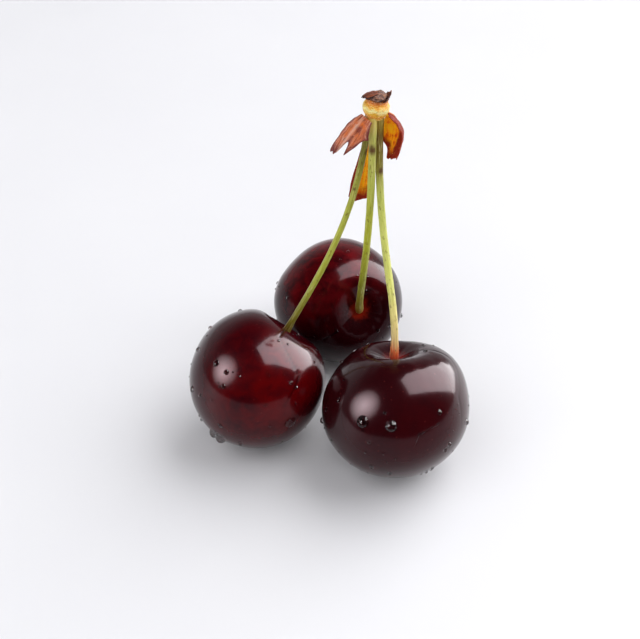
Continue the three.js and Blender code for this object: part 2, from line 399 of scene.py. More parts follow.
fruitForm = {
    "sides": 148,
    "rings": 72,
    "crowdRings": 1.3,  # towards the hollow
    "crowdSides": 0.72,  # towards the suture
    "hollowSpread": 0.36,
    "hollowOpening": 0.12,
    "seamDepth": 0.05,
    "seamWidth": 0.3,
    "seamValley": 0.06,
    "valleyWidth": 3,
    "seamFadesIn": (0.3, 0.6),
    "seamFadesOut": 15,
    "driftFrom": 58,
    "driftReach": 12,
    "pleatDepth": 0.022,
    "pleats": 13,
    "pleatWander": 5,
    "pleatsFrom": (0.08, 0.2),
    "pleatsTo": (0.3, 0.55),
    "lipAt": 0.6,
    "lipWidth": 0.18,
    "lipLumps": 1.7,
    "lumpHeight": 0.12,
    "lumpSize": 7,
    "rippleHeight": 0.008,
    "rippleSize": 2.4,
    "tipRadius": 13,
    "scarDepth": 0.35,
    "scarWidth": 0.9,
    "scarRim": (1.3, 0.5),  # how far from the tip, and how wide
    "redAround": 0.22,  # how far the stalk's colour reaches into the hollow
    "seamStain": 0.22,
    "scarStain": 0.8,
}

skinTones = {"speck": tone(150, 60, 50), "seam": tone(14, 1, 3), "scar": tone(92, 60, 38)}


def fruitPose(fruit):
    tilt = up.rotation_difference(Vector(fruit["axis"]).normalized())
    return tilt @ Quaternion(up, math.radians(fruit["turn"]))


def fruitPoint(fruit, pose, polar, around):
    # the same fruit as the CAD solid, from its own middle
    level = math.cos(polar)
    across = math.sin(polar)
    outwards = Vector((across * math.cos(around), across * math.sin(around), level))
    opened = 1 + fruitForm["hollowOpening"] * ((1 + math.cos(around)) / 2) ** 2
    spread = fruitForm["hollowSpread"] * opened
    height = fruit["tip"] * level
    if level >= 0:
        height = fruit["crown"] * level - fruit["hollowDepth"] * gauss(across, spread)
    point = Vector((outwards.x * fruit["thickness"] / 2, outwards.y * fruit["width"] / 2, height))
    outwards.rotate(pose)
    point.rotate(pose)
    for towards, by, reach in fruit["swells"]:
        point += outwards * by * gauss(outwards.angle(Vector(towards)), math.radians(reach))
    return point, outwards


def seamDistance(fruit, polar, around):
    # from the suture, which wanders a little as it runs from the hollow to the tip
    reach = fruitForm["driftReach"]
    drift = max(-reach, min(reach, math.degrees(polar) - fruitForm["driftFrom"])) * fruit["seamDrift"]
    aside = around - math.radians(fruit["seamAt"] + drift)
    if math.cos(aside) < 0:  # the far side of the fruit has none
        return 99
    return abs(math.sin(polar) * math.sin(aside)) * fruit["width"] / 2


def seamStrength(fruit, polar):
    # none inside the hollow or past where it dies out
    fade = fruitForm["seamFadesOut"]
    ending = 1 - smooth(math.degrees(polar), fruit["seamEnds"] - fade, fruit["seamEnds"] + fade)
    return smooth(math.sin(polar), *fruitForm["seamFadesIn"]) * ending


def fruitDetail(fruit, polar, around, point, outwards):
    # how far the skin stands out from the smooth fruit
    across = math.sin(polar)
    towards, by, reach = fruit.get("shoulder", (up, 0, 1))
    fromSeam = seamDistance(fruit, polar, around)
    seam = seamStrength(fruit, polar)
    out = -fruitForm["seamDepth"] * gauss(fromSeam, fruitForm["seamWidth"]) * seam
    out -= fruitForm["seamValley"] * gauss(fromSeam, fruitForm["valleyWidth"]) * seam
    inHollow = smooth(across, *fruitForm["pleatsFrom"]) * (1 - smooth(across, *fruitForm["pleatsTo"]))
    inHollow *= math.cos(polar) > 0
    wander = fruitForm["pleatWander"] * wobble((math.cos(around), math.sin(around), 0), 0.5)
    out += fruitForm["pleatDepth"] * inHollow * math.sin(around * fruitForm["pleats"] + wander)
    onLip = gauss(across - fruitForm["lipAt"], fruitForm["lipWidth"]) * (math.cos(polar) > 0)
    out += fruit["lip"] * onLip * wobble(point, fruitForm["lipLumps"], fruit["seed"] + 5)
    out += by * gauss(outwards.angle(Vector(towards)), math.radians(reach))
    out += fruitForm["lumpHeight"] * wobble(point, fruitForm["lumpSize"], fruit["seed"])
    out += fruitForm["rippleHeight"] * wobble(point, fruitForm["rippleSize"], fruit["seed"] + 9)
    if math.cos(polar) < 0:
        fromTip = across * fruitForm["tipRadius"]
        rimAt, rimWidth = fruitForm["scarRim"]
        out -= fruitForm["scarDepth"] * gauss(fromTip, fruitForm["scarWidth"])
        out += 0.3 * fruitForm["scarDepth"] * gauss(fromTip - rimAt, rimWidth)
    return out


def skinLook(finish, fruit, centre):
    where = finish.place(centre)
    # A painted glow: the side of the fruit that faces the light and the camera is painted a lighter, mottled
    # red, as if lit through the skin.
    paintedLitSide = finish.rise(finish.towards(where, fruit["paintedGlowSide"]), 0.001, 0.014)
    broad = finish.noise(where, 0.011, 2, 0.4)
    patchy = finish.noise(where, 0.0022, 4, 0.6)
    paintedGlowShare = paintedLitSide * finish.rise(broad * 0.7 + patchy * 0.6, 0.4, 0.85)
    colour = finish.mix(paintedGlowShare, fruit["deep"], fruit["paintedGlow"])
    fibres = finish.noise(where, 0.0009, 3)
    # fine fibres of the painted glow, only on its lit side
    colour = finish.mix(finish.rise(fibres, 0.58, 0.8) * 0.3 * paintedLitSide, colour, fruit["paintedGlow"])
    specks = finish.add("ShaderNodeTexVoronoi", {}, {"Vector": where, "Scale": 620}, "Distance")
    speck = 1 - finish.rise(specks, 0.05, 0.13)
    colour = finish.mix(speck * 0.12, colour, skinTones["speck"])
    nearStalk = finish.attribute("nearStalk")
    reddened = finish.rise(nearStalk + (patchy - 0.5) * 0.9, 0.35, 1) * 0.9
    colour = finish.mix(reddened, colour, fruit["hollowTint"])
    colour = finish.mix(finish.attribute("seam") * 0.75, colour, skinTones["seam"])
    colour = finish.mix(finish.attribute("scar"), colour, skinTones["scar"])
    skinBump = finish.noise(where, 0.0011, 3) * 0.6 + finish.noise(where, 0.004, 2) * 1.4
    return {
        "Base Color": colour,
        "Roughness": finish.noise(where, 0.006, 3) * 0.07 + 0.14 + finish.attribute("scar") * 0.4,
        "Normal": finish.bump(skinBump, 0.000012),
    }


fruitSkins = {}
fruitCentres = {}
for name, fruit in cherries.items():
    pose = fruitPose(fruit)
    bm = bmesh.new()
    bmesh.ops.create_uvsphere(bm, u_segments=fruitForm["sides"], v_segments=fruitForm["rings"], radius=1)
    nearStalk = bm.verts.layers.float.new("nearStalk")
    seamLine = bm.verts.layers.float.new("seam")
    scarSpot = bm.verts.layers.float.new("scar")
    plain = []
    ways = []
    for vert in bm.verts:
        share = math.acos(max(-1, min(1, vert.co.z))) / math.pi
        polar = math.pi * share ** fruitForm["crowdRings"]
        around = math.atan2(vert.co.y, vert.co.x)
        around += math.radians(fruit["seamAt"]) - fruitForm["crowdSides"] * math.sin(around)
        point, outwards = fruitPoint(fruit, pose, polar, around)
        plain.append(point)
        ways.append((polar, around, outwards))
    low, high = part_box(name)
    spanLow = Vector([min(point[i] for point in plain) for i in range(3)])
    spanHigh = Vector([max(point[i] for point in plain) for i in range(3)])
    centre = (low + high) / 2 - (spanLow + spanHigh) / 2 * mm
    for vert, point, (polar, around, outwards) in zip(bm.verts, plain, ways):
        placed = point + outwards * fruitDetail(fruit, polar, around, point, outwards)
        vert.co = centre + placed * mm
        vert.co.z = max(vert.co.z, low.z)  # flat where it stands on the table
        across = math.sin(polar)
        fromSeam = seamDistance(fruit, polar, around)
        fromTip = across * fruitForm["tipRadius"]
        vert[nearStalk] = gauss(across, fruitForm["redAround"]) * (math.cos(polar) > 0)
        vert[seamLine] = gauss(fromSeam, fruitForm["seamStain"]) * seamStrength(fruit, polar)
        vert[scarSpot] = gauss(fromTip, fruitForm["scarStain"]) * (math.cos(polar) < 0)
    faceOutwards(bm)
    fruitSkins[name] = BVHTree.FromBMesh(bm)
    fruitCentres[name] = centre
    material = newFinish(
        "skin_of_" + name,
        {
            "Specular IOR Level": fruit["shine"], "Specular Tint": (1, 0.7, 0.79, 1), "IOR": 1.36,
            "Coat Weight": fruit["shine"], "Coat Roughness": 0.06, "Coat IOR": 1.32,
        },
        lambda finish, fruit=fruit, centre=centre: skinLook(finish, fruit, centre),
    )
    piece = finished(
        name + "_fruit", bm, material, stands=[name], modifiers=[onceSmoother],
    )
    if piece.name in unlit:
        shaded = bpy.data.collections.new("shaded_from_softbox")
        shaded.objects.link(piece)
        unlit[piece.name].light_linking.receiver_collection = shaded
        shaded.collection_objects[0].light_linking.link_state = "EXCLUDE"


# A drop is (bearing, height, width, how far it stands out as a share of its width). A film is
# the rim of a spread drop, as bearings and heights.
drops = {
    "cherry_right": {
        "large": (
            (-122, 30, 2.3, 0.36), (-97, 32, 2.2, 0.36), (-155, 31, 0.9, 0.34), (-104, 41, 0.7, 0.34),
            (-113, 16, 0.8, 0.34), (-101, 9, 0.7, 0.34), (-51, 1, 1, 0.36), (-21, 7, 1.3, 0.36),
            (-174, -6, 1.3, 0.36), (36, 59, 0.9, 0.34), (-110, -9, 1, 0.36), (-96, -16, 0.9, 0.36),
        ),
        "film": ((-52, 29), (-55, 27), (-66, 26), (-74, 24.5), (-76, 21), (-76, 18), (-80, 14)),
        "small": 46, "seed": 7,
    },
    "cherry_left": {
        "large": (
            (-132, -27, 2.1, 0.42), (-125, -29, 2.4, 0.42), (-122, 41, 1.05, 0.4), (-139, 43, 1.3, 0.3),
            (-124, 28, 0.6, 0.34), (-120, -8, 0.9, 0.36), (-143, 10, 0.8, 0.36), (-129, 14, 0.7, 0.36),
            (-157, 6, 1.3, 0.3), (114, 49, 0.9, 0.34), (150, 36, 1, 0.36), (-81, 18, 0.7, 0.34),
            (-61, -5, 2.3, 0.16), (-33, 66, 0.6, 0.34), (-24, 58, 0.5, 0.34),
        ),
        "small": 46, "seed": 5,
    },
    "cherry_back": {
        "large": (
            (-15, 81, 0.7, 0.34), (-92, 10, 1, 0.34), (-49, -2, 0.8, 0.34), (-12, -8, 1.1, 0.36),
            (-83, 77, 0.6, 0.34), (-42, 53, 0.7, 0.34), (-57, 58, 0.5, 0.34), (172, 14, 0.9, 0.36),
        ),
        "small": 40, "seed": 6,
    },
}


dropForm = {
    "sides": 18,
    "rings": 12,
    "castFrom": 30,  # far enough out to be outside every fruit
    "lowest": 1.2,  # none sits nearer the table
    "domed": 1.35,
    "sunk": 0.16,
    "sags": 0.12,
    "filmSides": 8,
    "filmSteps": 6,
    "filmRadius": 0.14,
    "smallest": 0.35,
    "spare": 0.75,  # how much wider a small drop may be
    "band": (-0.8, 0.75),  # the lowest and highest that small drops lie, from -1 to 1
    "stand": (0.32, 0.45),
}


def onSkin(skin, centre, bearing, height):
    # the point of a skin that lies at a bearing and height from its middle, and its normal
    direction = pointing(bearing, height)
    outside = centre + direction * dropForm["castFrom"] * mm
    return skin.ray_cast(outside, -direction)[:2]


def addDrop(bm, skin, centre, bearing, height, width, stand):
    spot, normal = onSkin(skin, centre, bearing, height)
    if spot is None or spot.z < dropForm["lowest"] * mm:
        return
    made = bmesh.ops.create_uvsphere(
        bm, u_segments=dropForm["sides"], v_segments=dropForm["rings"], radius=1,
    )["verts"]
    turn = normal.to_track_quat("Z", "Y")
    downhill = -up + normal * normal.z
    for vert in made:
        rising = max(0, vert.co.z)
        local = Vector((vert.co.x * width / 2, vert.co.y * width / 2, 0))
        dome = stand * rising ** dropForm["domed"]
        local.z = width * (dome if vert.co.z > 0 else dropForm["sunk"] * vert.co.z)
        local.rotate(turn)
        vert.co = spot + local * mm + downhill * rising * dropForm["sags"] * width * mm


def addFilmEdge(bm, skin, centre, line):
    # the raised rim of a spread drop, as a thin half-sunk thread along the line
    spots = []
    for (bearing, height), (nextBearing, nextHeight) in zip(line, line[1:]):
        for step in range(dropForm["filmSteps"]):
            part = step / dropForm["filmSteps"]
            spots.append(onSkin(
                skin, centre, bearing + (nextBearing - bearing) * part, height + (nextHeight - height) * part,
            ))
    places = []
    for step, (spot, normal) in enumerate(spots):
        after = spots[min(step + 1, len(spots) - 1)][0]
        before = spots[max(step - 1, 0)][0]
        ahead = (after - before).normalized()
        share = step / (len(spots) - 1)
        tapered = dropForm["filmRadius"] * (0.15 + math.sin(math.pi * share))
        radius = tapered * (1 + 0.3 * wobble(spot, 0.8 * mm))
        places.append(ringPlace(spot, radius * mm, ahead.cross(normal), normal, ahead))
    swept(bm, dropForm["filmSides"], places)
    openEdges = [edge for edge in bm.edges if edge.is_boundary]
    bmesh.ops.holes_fill(bm, edges=openEdges, sides=dropForm["filmSides"])
    bmesh.ops.recalc_face_normals(bm, faces=bm.faces)


waterFinish = newFinish(
    "clear_water",
    {"Base Color": (1, 1, 1, 1), "IOR": 1.33, "Transmission Weight": 1},
    lambda finish: {"Roughness": finish.noise(finish.place(), 0.002) * 0.02},
)

for name, wet in drops.items():
    random.seed(wet["seed"])
    bm = bmesh.new()
    skin = fruitSkins[name]
    centre = fruitCentres[name]
    for bearing, height, width, stand in wet["large"]:
        addDrop(bm, skin, centre, bearing, height, width, stand)
    if "film" in wet:
        addFilmEdge(bm, skin, centre, wet["film"])
    for _ in range(wet["small"]):
        bearing = random.uniform(-180, 180)
        height = math.degrees(math.asin(random.uniform(*dropForm["band"])))
        width = dropForm["smallest"] + dropForm["spare"] * random.random() ** 3
        addDrop(bm, skin, centre, bearing, height, width, random.uniform(*dropForm["stand"]))
    finished("drops_on_" + name, bm, waterFinish)


# Tones lie at shares of the way up from the fruit, and a spot is (share, bearing, width).
stalks = {
    "stalk_right": {
        # darker from 0.8 to 0.93 of the way up: painted shade under the right bract
        "tones": (
            (0, tone(156, 34, 10)), (0.035, tone(214, 96, 44)), (0.08, tone(236, 208, 140)),
            (0.3, tone(214, 216, 112)), (0.68, tone(190, 196, 92)), (0.8, tone(142, 132, 44)),
            (0.93, tone(122, 96, 30)), (1, tone(176, 150, 50)),
        ),
        "spots": ((0.78, -60, 0.9),), "seed": 11,
    },
    "stalk_left": {
        "tones": (
            # darker at the foot: painted shade in the fruit's hollow
            (0, tone(104, 74, 16)), (0.05, tone(124, 112, 22)), (0.25, tone(164, 168, 48)),
            (0.6, tone(178, 182, 66)), (0.85, tone(132, 130, 40)), (1, tone(150, 134, 50)),
        ),
        "spots": ((0.86, -30, 0.8), (0.7, -110, 0.5)), "seed": 12,
    },
    "stalk_back": {
        "tones": (
            # darker at the foot: painted shade in the fruit's hollow
            (0, tone(130, 52, 10)), (0.04, tone(134, 116, 24)), (0.2, tone(152, 156, 30)),
            (0.5, tone(182, 186, 52)), (0.8, tone(184, 188, 82)), (0.94, tone(190, 190, 96)),
            (1, tone(216, 192, 90)),
        ),
        "spots": ((0.895, -95, 1.15),), "seed": 13,
    },
}

stalkForm = {
    "sides": 24,
    "steps": 90,
    "footSunk": 0.55,
    "topSunk": 1.5,
    "lookAhead": 0.01,
    "ribDepth": 0.05,
    "knobs": 0.05,
    "spotLength": 1.5,
    "spotEdge": (0.35, 0.75),
}

# edge is the tone of the painted light along the stalks' sides
rindTones = {
    "paleStreak": tone(224, 216, 150), "darkStreak": tone(84, 88, 20), "edge": tone(232, 222, 160),
    "dash": tone(100, 72, 20), "spot": tone(84, 38, 8),
}


def ringCentres(bm):
    # walks up a swept solid from its foot, ring by ring, and gives each ring's middle and radius
    ring = [poles(bm)[0]]
    seenVerts = set(ring)
    middles = []
    while ring:
        middle = sum((vert.co for vert in ring), Vector()) / len(ring)
        middles.append((middle, max((vert.co - middle).length for vert in ring)))
        beside = dict.fromkeys(edge.other_vert(vert) for vert in ring for edge in vert.link_edges)
        ring = [vert for vert in beside if vert not in seenVerts]
        seenVerts.update(ring)
    return middles[1:-1]


def alongSpine(middles, share):
    # a smooth place and radius at a share of the way up
    at = share * (len(middles) - 1)
    step = min(int(at), len(middles) - 2)
    before = middles[max(step - 1, 0)][0]
    first, firstRadius = middles[step]
    second, secondRadius = middles[step + 1]
    after = middles[min(step + 2, len(middles) - 1)][0]
    part = at - step
    leaveFirst = (second - before) / 2
    reachSecond = (after - first) / 2
    place = (
        first * (2 * part ** 3 - 3 * part ** 2 + 1) + leaveFirst * (part ** 3 - 2 * part ** 2 + part)
        + second * (3 * part ** 2 - 2 * part ** 3) + reachSecond * (part ** 3 - part ** 2)
    )
    return place, firstRadius * (1 - part) + secondRadius * part


def stalkLook(finish, stalk):
    grain = finish.attribute("grain", "Vector")
    share = finish.attribute("share")
    wander = finish.noise(finish.stretch(grain, (1, 1, 0.25)), 0.0016, 2)
    colour = finish.ramp(share + (wander - 0.5) * 0.06, stalk["tones"])
    streaks = finish.noise(finish.stretch(grain, (1, 1, 0.07)), 0.0002, 3)
    colour = finish.mix(finish.rise(streaks, 0.52, 0.75) * 0.5, colour, rindTones["paleStreak"])
    colour = finish.mix(finish.rise(streaks, 0.5, 0.28) * 0.35, colour, rindTones["darkStreak"])
    # a painted highlight along the stalk's sides
    colour = finish.mix(finish.attribute("paleEdge") * 0.6, colour, rindTones["edge"])
    dashes = finish.noise(finish.stretch(grain, (1, 1, 0.4)), 0.00042, 2)
    colour = finish.mix(finish.rise(dashes, 0.6, 0.72) * 0.6, colour, rindTones["dash"])
    colour = finish.mix(finish.attribute("spot") * 0.9, colour, rindTones["spot"])
    roughness = finish.noise(grain, 0.001) * 0.2 + 0.42
    height = streaks * 0.5 + dashes
    return {"Base Color": colour, "Roughness": roughness, "Normal": finish.bump(height, 0.00005)}


def stalkPlaces(middles):
    # where each ring goes; the two ends reach into the fruit and into the bud
    places = []
    for step in range(stalkForm["steps"] + 1):
        share = step / stalkForm["steps"]
        place, radius = alongSpine(middles, share)
        after = alongSpine(middles, min(1, share + stalkForm["lookAhead"]))[0]
        before = alongSpine(middles, max(0, share - stalkForm["lookAhead"]))[0]
        ahead = (after - before).normalized()
        if step == 0:
            place = place - ahead * stalkForm["footSunk"] * mm
        if step == stalkForm["steps"]:
            place = place + ahead * stalkForm["topSunk"] * mm
        sideways = Vector((0, 1, 0)).cross(ahead).normalized()
        places.append(ringPlace(place, radius, sideways, ahead.cross(sideways), ahead))
    return places


for name, stalk in stalks.items():
    solid = mergedCopy(name)
    middles = ringCentres(solid)
    solid.free()
    bm = bmesh.new()
    grain = bm.verts.layers.float_vector.new("grain")
    shares = bm.verts.layers.float.new("share")
    paleEdge = bm.verts.layers.float.new("paleEdge")
    spot = bm.verts.layers.float.new("spot")
    places = stalkPlaces(middles)
    rings = swept(bm, stalkForm["sides"], places)
    length = sum((after[0] - before[0]).length for before, after in zip(middles, middles[1:]))
    for step, (there, ring) in enumerate(zip(places, rings)):
        share = step / stalkForm["steps"]
        back = there.inverted()
        radius = there.to_scale().x
        for vert in ring:
            flat = back @ vert.co
            angle = math.atan2(flat.y, flat.x)
            ribs = stalkForm["ribDepth"] * math.sin(3 * angle + 4 * share + stalk["seed"])
            ribs += stalkForm["knobs"] * wobble((flat.x, flat.y, share * 24), 1.1, stalk["seed"])
            vert.co = there @ (flat * (1 + ribs))
            vert[grain] = (flat.x * radius, flat.y * radius, share * length)
            vert[shares] = share
            # Painted light: the sides of the stalk are painted pale, as if light shone along and through its
            # edges, most on the right.
            paintedFarEdgeLight = smooth(-math.cos(angle + 0.2), 0.9, 1)
            vert[paleEdge] = smooth(math.cos(angle - 0.35), 0.86, 1) + 0.7 * paintedFarEdgeLight
            for at, bearing, width in stalk["spots"]:
                aside = math.remainder(angle - math.radians(bearing), 2 * math.pi) * radius / mm
                along = (share - at) * length / mm / stalkForm["spotLength"]
                away = math.hypot(aside, along) + 0.15 * wobble(vert.co, 0.4 * mm)
                dark, clear = stalkForm["spotEdge"]
                vert[spot] += 1 - smooth(away, width * dark, width * clear)
    for end in (rings[0], rings[-1]):
        bmesh.ops.contextual_create(bm, geom=end)
    faceOutwards(bm)
    material = newFinish(
        "rind_of_" + name,
        {"Specular IOR Level": 0.25, "Subsurface Weight": 0.15, "Subsurface Radius": (0.001, 0.001, 0.0004)},
        lambda finish, stalk=stalk: stalkLook(finish, stalk),
    )
    rind = finished(name + "_rind", bm, material, stands=[name], modifiers=[onceSmoother])
    unshaded.objects.link(rind)
    unshaded.collection_objects[-1].light_linking.link_state = "EXCLUDE"


# The bud's own frame, in millimetres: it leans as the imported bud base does.
budSolid = mergedCopy("bud_base")
budFoot, budHead = [vert.co.copy() for vert in poles(budSolid)]
budSolid.free()
budTurn = up.rotation_difference(budHead - budFoot).to_matrix().to_4x4()
budFrame = Matrix.Translation(budFoot) @ budTurn @ Matrix.Scale(mm, 4)

budBase = {
    "profile": (
        (0, 0.35), (0.8, 0.2), (1.3, 0.15), (1.62, 0.3), (1.78, 0.6), (1.86, 0.9), (2.05, 1.15),
        (2.28, 1.55), (2.36, 2), (2.32, 2.5), (2.14, 2.86), (1.9, 3.05), (1.86, 3.3), (1.88, 3.6),
        (1.7, 3.85), (1.2, 3.95), (0, 4),
    ),
    "steps": 72,
    "wrinkle": 0.13,
    "crack": 0.08,
    "seed": 21,
    "levels": (
        (0, tone(176, 140, 44)), (0.12, tone(228, 180, 70)), (0.26, tone(226, 138, 24)),
        (0.42, tone(236, 180, 36)), (0.58, tone(255, 242, 168)), (0.7, tone(244, 186, 56)),
        (0.84, tone(226, 128, 40)), (1, tone(160, 84, 40)),
    ),
    "paleFleck": tone(250, 236, 178),
    "darkFleck": tone(160, 84, 20),
    "crackTone": tone(118, 62, 22),
}


def woodLook(finish):
    inBud = finish.attribute("inBud", "Vector")
    height = finish.add("ShaderNodeSeparateXYZ", {}, {0: inBud}, "Z")
    wander = finish.noise(inBud, 0.9, 3, 0.4)
    level = height + (wander - 0.5) * 1.3
    colour = finish.ramp(level * 0.25, budBase["levels"])  # the ring is 4 high
    fine = finish.noise(finish.stretch(inBud, (1, 1, 3)), 0.34, 4, 0.3)
    colour = finish.mix(finish.rise(fine, 0.5, 0.75) * 0.7, colour, budBase["paleFleck"])
    colour = finish.mix(finish.rise(fine, 0.48, 0.3) * 0.6, colour, budBase["darkFleck"])
    cracks = finish.noise(finish.stretch(inBud, (1.6, 1.6, 0.7)), 0.5, 3, 0.6)
    colour = finish.mix(finish.rise(cracks, 0.62, 0.72) * 0.5, colour, budBase["crackTone"])
    return {
        "Base Color": colour,
        "Roughness": finish.noise(inBud, 0.5) * 0.25 + 0.42,
        "Normal": finish.bump(fine + cracks * 0.6, 0.00012),
    }


def inBudFrame(bm):
    # keeps each point's place in the leaning bud, for its pattern
    place = bm.verts.layers.float_vector.new("inBud")
    for vert in bm.verts:
        vert[place] = vert.co


bm = bmesh.new()
profile = [bm.verts.new((radius, 0, height)) for radius, height in budBase["profile"]]
line = [bm.edges.new(pair) for pair in zip(profile, profile[1:])]
bmesh.ops.spin(
    bm, geom=profile + line, cent=(0, 0, 0), axis=(0, 0, 1), dvec=(0, 0, 0),
    angle=2 * math.pi, steps=budBase["steps"], use_merge=True,
)
bmesh.ops.remove_doubles(bm, verts=bm.verts, dist=1e-4)
bmesh.ops.subdivide_edges(bm, edges=bm.edges, cuts=1, use_grid_fill=True)
for vert in bm.verts:
    outwards = Vector((vert.co.x, vert.co.y, 0))
    if outwards.length > 0.3:
        outwards.normalize()
        rough = wobble((vert.co.x, vert.co.y, vert.co.z * 2.2), 1.2, budBase["seed"])
        fine = abs(wobble((vert.co.x * 1.4, vert.co.y * 1.4, vert.co.z), 0.5, budBase["seed"] + 1))
        vert.co += outwards * (budBase["wrinkle"] * rough - budBase["crack"] * fine)
inBudFrame(bm)
bmesh.ops.transform(bm, matrix=budFrame, verts=bm.verts)
faceOutwards(bm)
woodFinish = newFinish(
    "corky_bud",
    {"Specular IOR Level": 0.15, "Subsurface Weight": 0.3, "Subsurface Radius": (0.001, 0.0006, 0.0002)},
    woodLook,
)
finished("bud_base_cork", bm, woodFinish, stands=["bud_base"])


cap = {
    "sides": 56,
    "rings": 32,
    "radius": 1.66,
    "foot": 4.12,
    "height": 0.72,
    "under": 0.22,
    "rise": 0.16,
    "crust": 0.2,
    "fineCrust": 0.12,
    "seed": 31,
    "patches": (
        (0.3, tone(52, 30, 24)), (0.48, tone(96, 56, 42)),
        (0.6, tone(142, 88, 56)), (0.75, tone(190, 120, 70)),
    ),
    "paleFleck": tone(206, 160, 122),
    "darkFleck": tone(36, 20, 16),
}


def crustLook(finish):
    inBud = finish.attribute("inBud", "Vector")
    broad = finish.noise(inBud, 0.8, 3, 0.5)
    fine = finish.noise(inBud, 0.22, 4, 0.3)
    colour = finish.ramp(broad, cap["patches"])
    colour = finish.mix(finish.rise(fine, 0.55, 0.75) * 0.6, colour, cap["paleFleck"])
    colour = finish.mix(finish.rise(fine, 0.45, 0.25) * 0.7, colour, cap["darkFleck"])
    return {
        "Base Color": colour,
        "Roughness": finish.noise(inBud, 0.4) * 0.25 + 0.5,
        "Normal": finish.bump(fine + broad, 0.00015),
    }


bm = bmesh.new()
bmesh.ops.create_uvsphere(bm, u_segments=cap["sides"], v_segments=cap["rings"], radius=1)
for vert in bm.verts:
    direction = vert.co.copy()
    crust = 1 + cap["crust"] * wobble(direction, 0.5, cap["seed"])
    crust += cap["fineCrust"] * wobble(direction, 0.2, cap["seed"] + 1)
    vert.co = Vector((
        direction.x * cap["radius"] * crust,
        direction.y * cap["radius"] * crust,
        cap["foot"] + (cap["height"] * crust if direction.z > 0 else cap["under"]) * direction.z
        + cap["rise"] * direction.x,
    ))
inBudFrame(bm)
bmesh.ops.transform(bm, matrix=budFrame, verts=bm.verts)
crustFinish = newFinish("dark_bud_crust", {"Specular IOR Level": 0.3}, crustLook)
finished("bud_cap_crust", bm, crustFinish, stands=["bud_cap"])


# A scale follows a spine of three [outwards, sideways, up] points in the bud's frame. It is
# rolled about its length. A warmFrom below 0 warms the whole of its inner side.
# glow is how strongly a scale shines by itself, a painted glow
scales = {
    "bract_left": {
        "bearing": 226, "spine": ((2.2, 0, 0.75), (4.4, -0.5, -1.1), (6, -2.4, -7.6)), "late": 1,
        "width": 5, "widest": 0.55, "rootShare": 0.6, "endShare": 0.6, "roll": 3.6,
        "slant": 0.16, "round": 0, "notch": (0.12, 0.3, 0.17), "crumple": 0.36,
        "curl": 0.35, "ridge": 0.7, "seed": 41,
        "trim": 0.46, "twist": 0, "tear": 0.08, "rimSide": 0, "warmFrom": -1, "paintedGlow": 0.05,
    },
    "bract_right": {
        "bearing": 18, "spine": ((2.2, 0, 0.95), (6.7, 0, -0.9), (4.1, 0, -8.7)), "late": 1,
        "width": 4.9, "widest": 0.45, "rootShare": 0.55, "endShare": 0.34, "roll": 2.4,
        "slant": 0, "round": 0.1, "notch": (0, 0, 1), "crumple": 0.3,
        "curl": 0.7, "ridge": 0, "seed": 42,
        "trim": 0.14, "twist": -28, "tear": 0.02, "rimSide": -1, "warmFrom": -1, "paintedGlow": 0.14,
    },
    "bract_back": {
        "bearing": 108, "spine": ((2.2, 0, 0.85), (3.34, -0.9, -9.2), (2.64, -0.3, -19.3)), "late": 3,
        "width": 4.1, "widest": 0.88, "rootShare": 0.16, "endShare": 0.3, "roll": 2.8,
        "slant": 0, "round": 0.08, "notch": (0, 0, 1), "crumple": 0.2,
        "curl": 0.2, "ridge": 0.2, "seed": 43,
        "trim": 0, "twist": 0, "tear": 0.01, "rimSide": 1, "warmFrom": -1, "paintedGlow": 0.12,
    },
    "cap_scale_left": {
        "bearing": 184, "spine": ((0.1, 0, 4.85), (1.5, 0, 4.95), (2.7, 0, 3.55)), "late": 1,
        "width": 1.9, "widest": 0.4, "rootShare": 0.8, "endShare": 0.25, "roll": 1.8,
        "slant": 0.1, "round": 0.1, "notch": (0, 0, 1), "crumple": 0.14,
        "curl": 0.2, "ridge": 0.1, "seed": 44,
        "trim": 0, "twist": 0, "tear": 0.07, "rimSide": 0, "warmFrom": 0.6, "paintedGlow": 0.02,
    },
    "cap_scale_right": {
        "bearing": -6, "spine": ((2.05, 0, 5.55), (2.15, 0, 4.5), (1.5, 0, 3.6)), "late": 1,
        "width": 2.1, "widest": 0.6, "rootShare": 0.2, "endShare": 0.8, "roll": 2.5,
        "slant": 0.15, "round": 0, "notch": (0, 0, 1), "crumple": 0.14,
        "curl": 0.3, "ridge": 0, "seed": 45,
        "trim": 0, "twist": 0, "tear": 0.05, "rimSide": 0, "warmFrom": 0.6, "paintedGlow": 0.02,
    },
}

scaleForm = {"across": 26, "along": 52, "thickness": 0.16, "vein": 0.05, "foldAt": -0.1}


